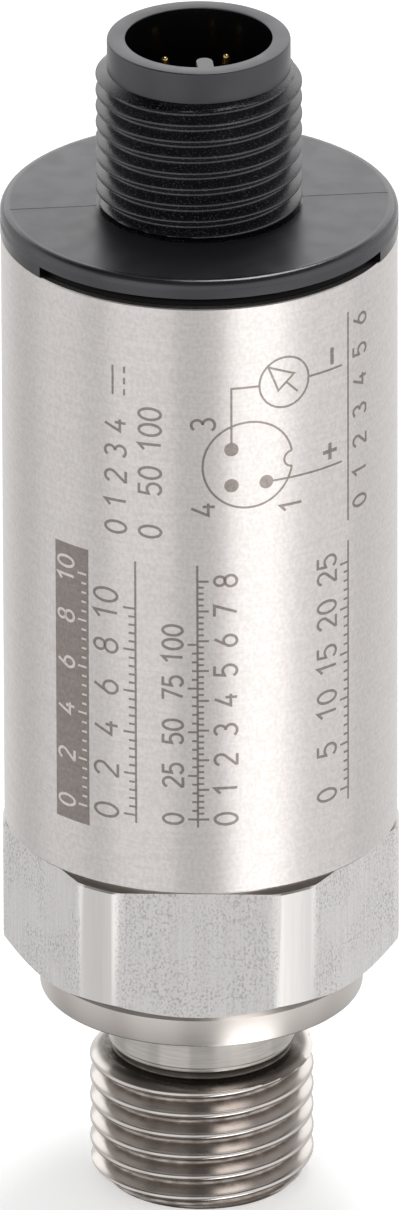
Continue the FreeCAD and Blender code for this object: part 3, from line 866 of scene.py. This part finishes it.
def parting_rib(side):
    """The fine flash line that the two halves of the mould leave on the flange."""
    angle = math.radians(cap_turn + side)
    half, high, low = 0.025, 0.012, 0.05
    outward = np.array([math.cos(angle), math.sin(angle)])
    across = np.array([-outward[1], outward[0]])
    rows = []
    for reach, size in ((m_thread_r, 0), (m_thread_r, 1), (flange_r - flange_round, 1),
                        (flange_r - flange_round, 0)):
        corners = [(-half, -low), (-half, high), (half, high), (half, -low)]
        rows.append([[*(outward * reach + across * wide * size), flange_top + tall * size]
                     for wide, tall in corners])
    return skin(np.array(rows))


connector_cap = make_piece("connector_cap_moulded", *joined(
    [skin(cap_points, cap_seam), key_rib(), parting_rib(0), parting_rib(180)]))


def plastic_finish():
    """Black moulded plastic: spark-eroded grain on the thread, cloudy gloss, a polished socket."""
    finish = Finish("black_moulded_plastic", {"IOR": 1.6, "Specular Tint": (0.98, 0.95, 1.0, 1)})
    here = finish.place()
    x, y, z = finish.parts(here)
    radius = (x * x + y * y) ** 0.5
    inside = finish.maths("LESS_THAN", radius, socket_r + 0.02)
    threaded = finish.maths("LESS_THAN", radius, m_thread_r + 0.02) * (1 - inside)
    threaded = threaded * finish.maths("LESS_THAN", z, neck_bottom)
    grain = finish.noise(here, 9.0, 2.0)
    cloud = finish.noise(here, 0.7, 3.0)
    # Painted highlight: specks on the thread that stand in for glints.
    painted_glints = finish.between(grain, 0.52, 0.76) * threaded
    hidden = finish.maths("LESS_THAN", z, flange_bottom + 0.01)
    deep = finish.maths("MAXIMUM", inside, hidden)
    # Painted shade: the thread is darker than the rest of the moulding.
    colour = finish.mix(threaded, black, thread_shaded_black)
    colour = finish.mix(painted_glints, colour, glint_grey)
    # Painted shade in the socket and under the flange.
    colour = finish.mix(deep, colour, hollow_painted_shade)
    round_r, round_low = flange_r - flange_round, flange_top - flange_round
    edge = finish.between(radius, round_r - 0.1, round_r) * (1 - deep)
    edge = edge * finish.between(z, round_low - 0.05, round_low)
    satin = finish.between(cloud, 0.3, 0.7, 0.30, 0.37) - edge * edge_gloss
    roughness = satin * (1 - deep) * (1 - threaded) + threaded * 0.24 + deep * 0.14
    height = grain * threaded + (grain * 0.06 + cloud * 0.4) * (1 - deep)
    return finish.dress(colour, roughness, height, 0.008)


connector_cap.data.materials.append(plastic_finish())
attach(connector_cap, "root")
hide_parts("connector_cap")


# ---- Contacts ----
# Three turned brass contacts, gold plated, with tapered round tips. Each is pushed up through the
# web of the cap until its collar meets it, and its tail goes into the contact board.
pin_columns = 48
pin_r = 0.5
pin_tip_r = 0.225
pin_taper_h = 0.85
pin_collar_r = 0.8
pin_collar_h = 0.8
pin_tail_r = 0.4


def contact(name):
    """A turned contact on its own axis: round tip, taper, stem, collar and tail."""
    low, high = (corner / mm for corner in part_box(name))
    middle = (low + high) / 2
    collar_foot = web_bottom - pin_collar_h
    taper_foot = high.z - pin_tip_r - pin_taper_h
    outline = [(0, low.z), (pin_tail_r, low.z), (pin_tail_r, collar_foot), (pin_collar_r, collar_foot),
               (pin_collar_r, web_bottom), (pin_r, web_bottom), (pin_r, taper_foot)]
    outline += bend((0, high.z - pin_tip_r), pin_tip_r, 0, 90)
    angle = np.linspace(0, 2 * math.pi, pin_columns, endpoint=False)
    points = np.stack([ring(angle, radius, height) for radius, height in outline])
    return make_piece(name + "_plated", *skin(points + np.array([middle.x, middle.y, 0])))


def gold_finish():
    """Gold plate with faint turning rings."""
    finish = Finish("gold_plate", {"Metallic": 1.0})
    x, y, z = finish.parts(finish.place())
    lines = finish.noise(finish.vector(x * 0.1, y * 0.1, z), 14.0, 2.0)
    colour = finish.mix(lines, (0.55, 0.38, 0.14, 1), (0.70, 0.50, 0.20, 1))
    return finish.dress(colour, finish.between(lines, 0.3, 0.7, 0.12, 0.2), lines, 0.001)


gold = gold_finish()
for node in ("contact_pin_1", "contact_pin_3", "contact_pin_4"):
    pin = contact(node)
    pin.data.materials.append(gold)
    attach(pin, "root")
    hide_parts(node)


# ---- Seals ----
# Three rings of black nitrile rubber. The one under the flange shows in the slots; the other two
# lie in the grooves of the port, squeezed flat by the tube and by the cell.
seal_columns = 192
seal_steps = 32
seal_section = 1.5
seal_middle = groove_r + seal_section / 2


def rubber_finish():
    """Black rubber with a dull bloom."""
    finish = Finish("black_rubber", {"Specular IOR Level": 0.08})
    here = finish.place()
    bloom = finish.noise(here, 3.0, 3.0)
    colour = finish.mix(bloom, (0.002, 0.002, 0.002, 1), (0.005, 0.0048, 0.0046, 1))
    return finish.dress(colour, finish.between(bloom, 0.3, 0.7, 0.40, 0.55), bloom, 0.004)


rubber = rubber_finish()
cap_ring_outline = bend((seal_middle, seat_height + seal_section / 2), seal_section / 2, 0, 360,
                        seal_steps)[:-1]
cap_ring = lathe("cap_ring_moulded", cap_ring_outline, seal_columns)
cap_ring.data.materials.append(rubber)
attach(cap_ring, "root")
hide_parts("cap_o_ring")


def dress_nodes(names, material):
    """Gives pieces of the frame their finish."""
    for name in names:
        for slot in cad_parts[name].material_slots:
            slot.material = material


dress_nodes(("tube_o_ring", "cell_o_ring"), rubber)


# ---- Measuring cell and its clamp ----
# An alumina cell on its seal, a plastic thrust ring and a threaded steel ring with four slots, which
# is screwed down into the cup of the port and holds the cell on its seal.
speck_depth = 0.004


def speckled(name, constants, first, second, fineness, rough):
    """An even material with soft specks in its colour, gloss and surface."""
    finish = Finish(name, constants)
    specks = finish.noise(finish.place(), fineness, 3.0)
    colour = finish.mix(finish.between(specks, 0.35, 0.65), first, second)
    return finish.dress(colour, finish.between(specks, 0.3, 0.7, *rough), specks, speck_depth)


alumina = speckled("fired_alumina", {}, (0.80, 0.78, 0.72, 1), (0.72, 0.70, 0.64, 1), 5.0, (0.45, 0.6))
natural_plastic = speckled("natural_plastic", {}, (0.66, 0.60, 0.48, 1), (0.60, 0.54, 0.42, 1), 2.0,
                           (0.4, 0.5))
dress_nodes(("ceramic_cell",), alumina)
dress_nodes(("thrust_ring",), natural_plastic)
dress_nodes(("lock_ring",), process_port.data.materials[0])


# ---- Boards, their carrier and links ----
# A moulded carrier, two green laminate boards, a polyimide flex, a bronze earth spring and the
# parts that are soldered on.
def laminate_finish():
    """Green solder resist over the weave of the glass laminate, which shows as a fine grid."""
    finish = Finish("green_laminate")
    x, y, z = finish.parts(finish.place())
    weave = finish.maths("SINE", x * 14.0) * finish.maths("SINE", z * 14.0 + y * 14.0)
    colour = finish.mix(finish.between(weave, -0.5, 0.5), (0.012, 0.10, 0.035, 1),
                        (0.016, 0.13, 0.045, 1))
    return finish.dress(colour, finish.between(weave, -1.0, 1.0, 0.22, 0.32), weave, 0.003)


def flex_finish():
    """Amber film over copper tracks that run along the strip."""
    finish = Finish("amber_flex")
    x = finish.parts(finish.place())[0]
    tracks = finish.between(finish.maths("SINE", x * 9.0), -0.2, 0.2)
    colour = finish.mix(tracks, (0.42, 0.16, 0.03, 1), (0.62, 0.30, 0.08, 1))
    return finish.dress(colour, tracks * 0.1 + 0.25, tracks, 0.02)


dress_nodes(("main_board", "contact_board"), laminate_finish())
dress_nodes(("flex_cable",), flex_finish())
dress_nodes(("board_carrier",), speckled("grey_plastic", {}, (0.09, 0.09, 0.095, 1),
                                         (0.11, 0.11, 0.115, 1), 6.0, (0.38, 0.5)))
dress_nodes(("cell_chip", "control_chip", "amplifier_chip", "voltage_regulator", "surge_diodes",
             "board_header"),
            speckled("chip_plastic", {}, (0.018, 0.018, 0.018, 1), (0.03, 0.03, 0.03, 1), 12.0,
                     (0.5, 0.62)))
dress_nodes(("capacitors",), speckled("capacitor_ceramic", {}, (0.40, 0.27, 0.16, 1),
                                      (0.48, 0.33, 0.2, 1), 9.0, (0.35, 0.5)))
dress_nodes(("resistors",), speckled("resistor_film", {}, (0.02, 0.02, 0.025, 1), (0.06, 0.06, 0.07, 1),
                                     9.0, (0.25, 0.4)))
dress_nodes(("earth_spring",), speckled("spring_bronze", {"Metallic": 1.0}, (0.75, 0.55, 0.36, 1),
                                        (0.66, 0.47, 0.3, 1), 7.0, (0.22, 0.34)))
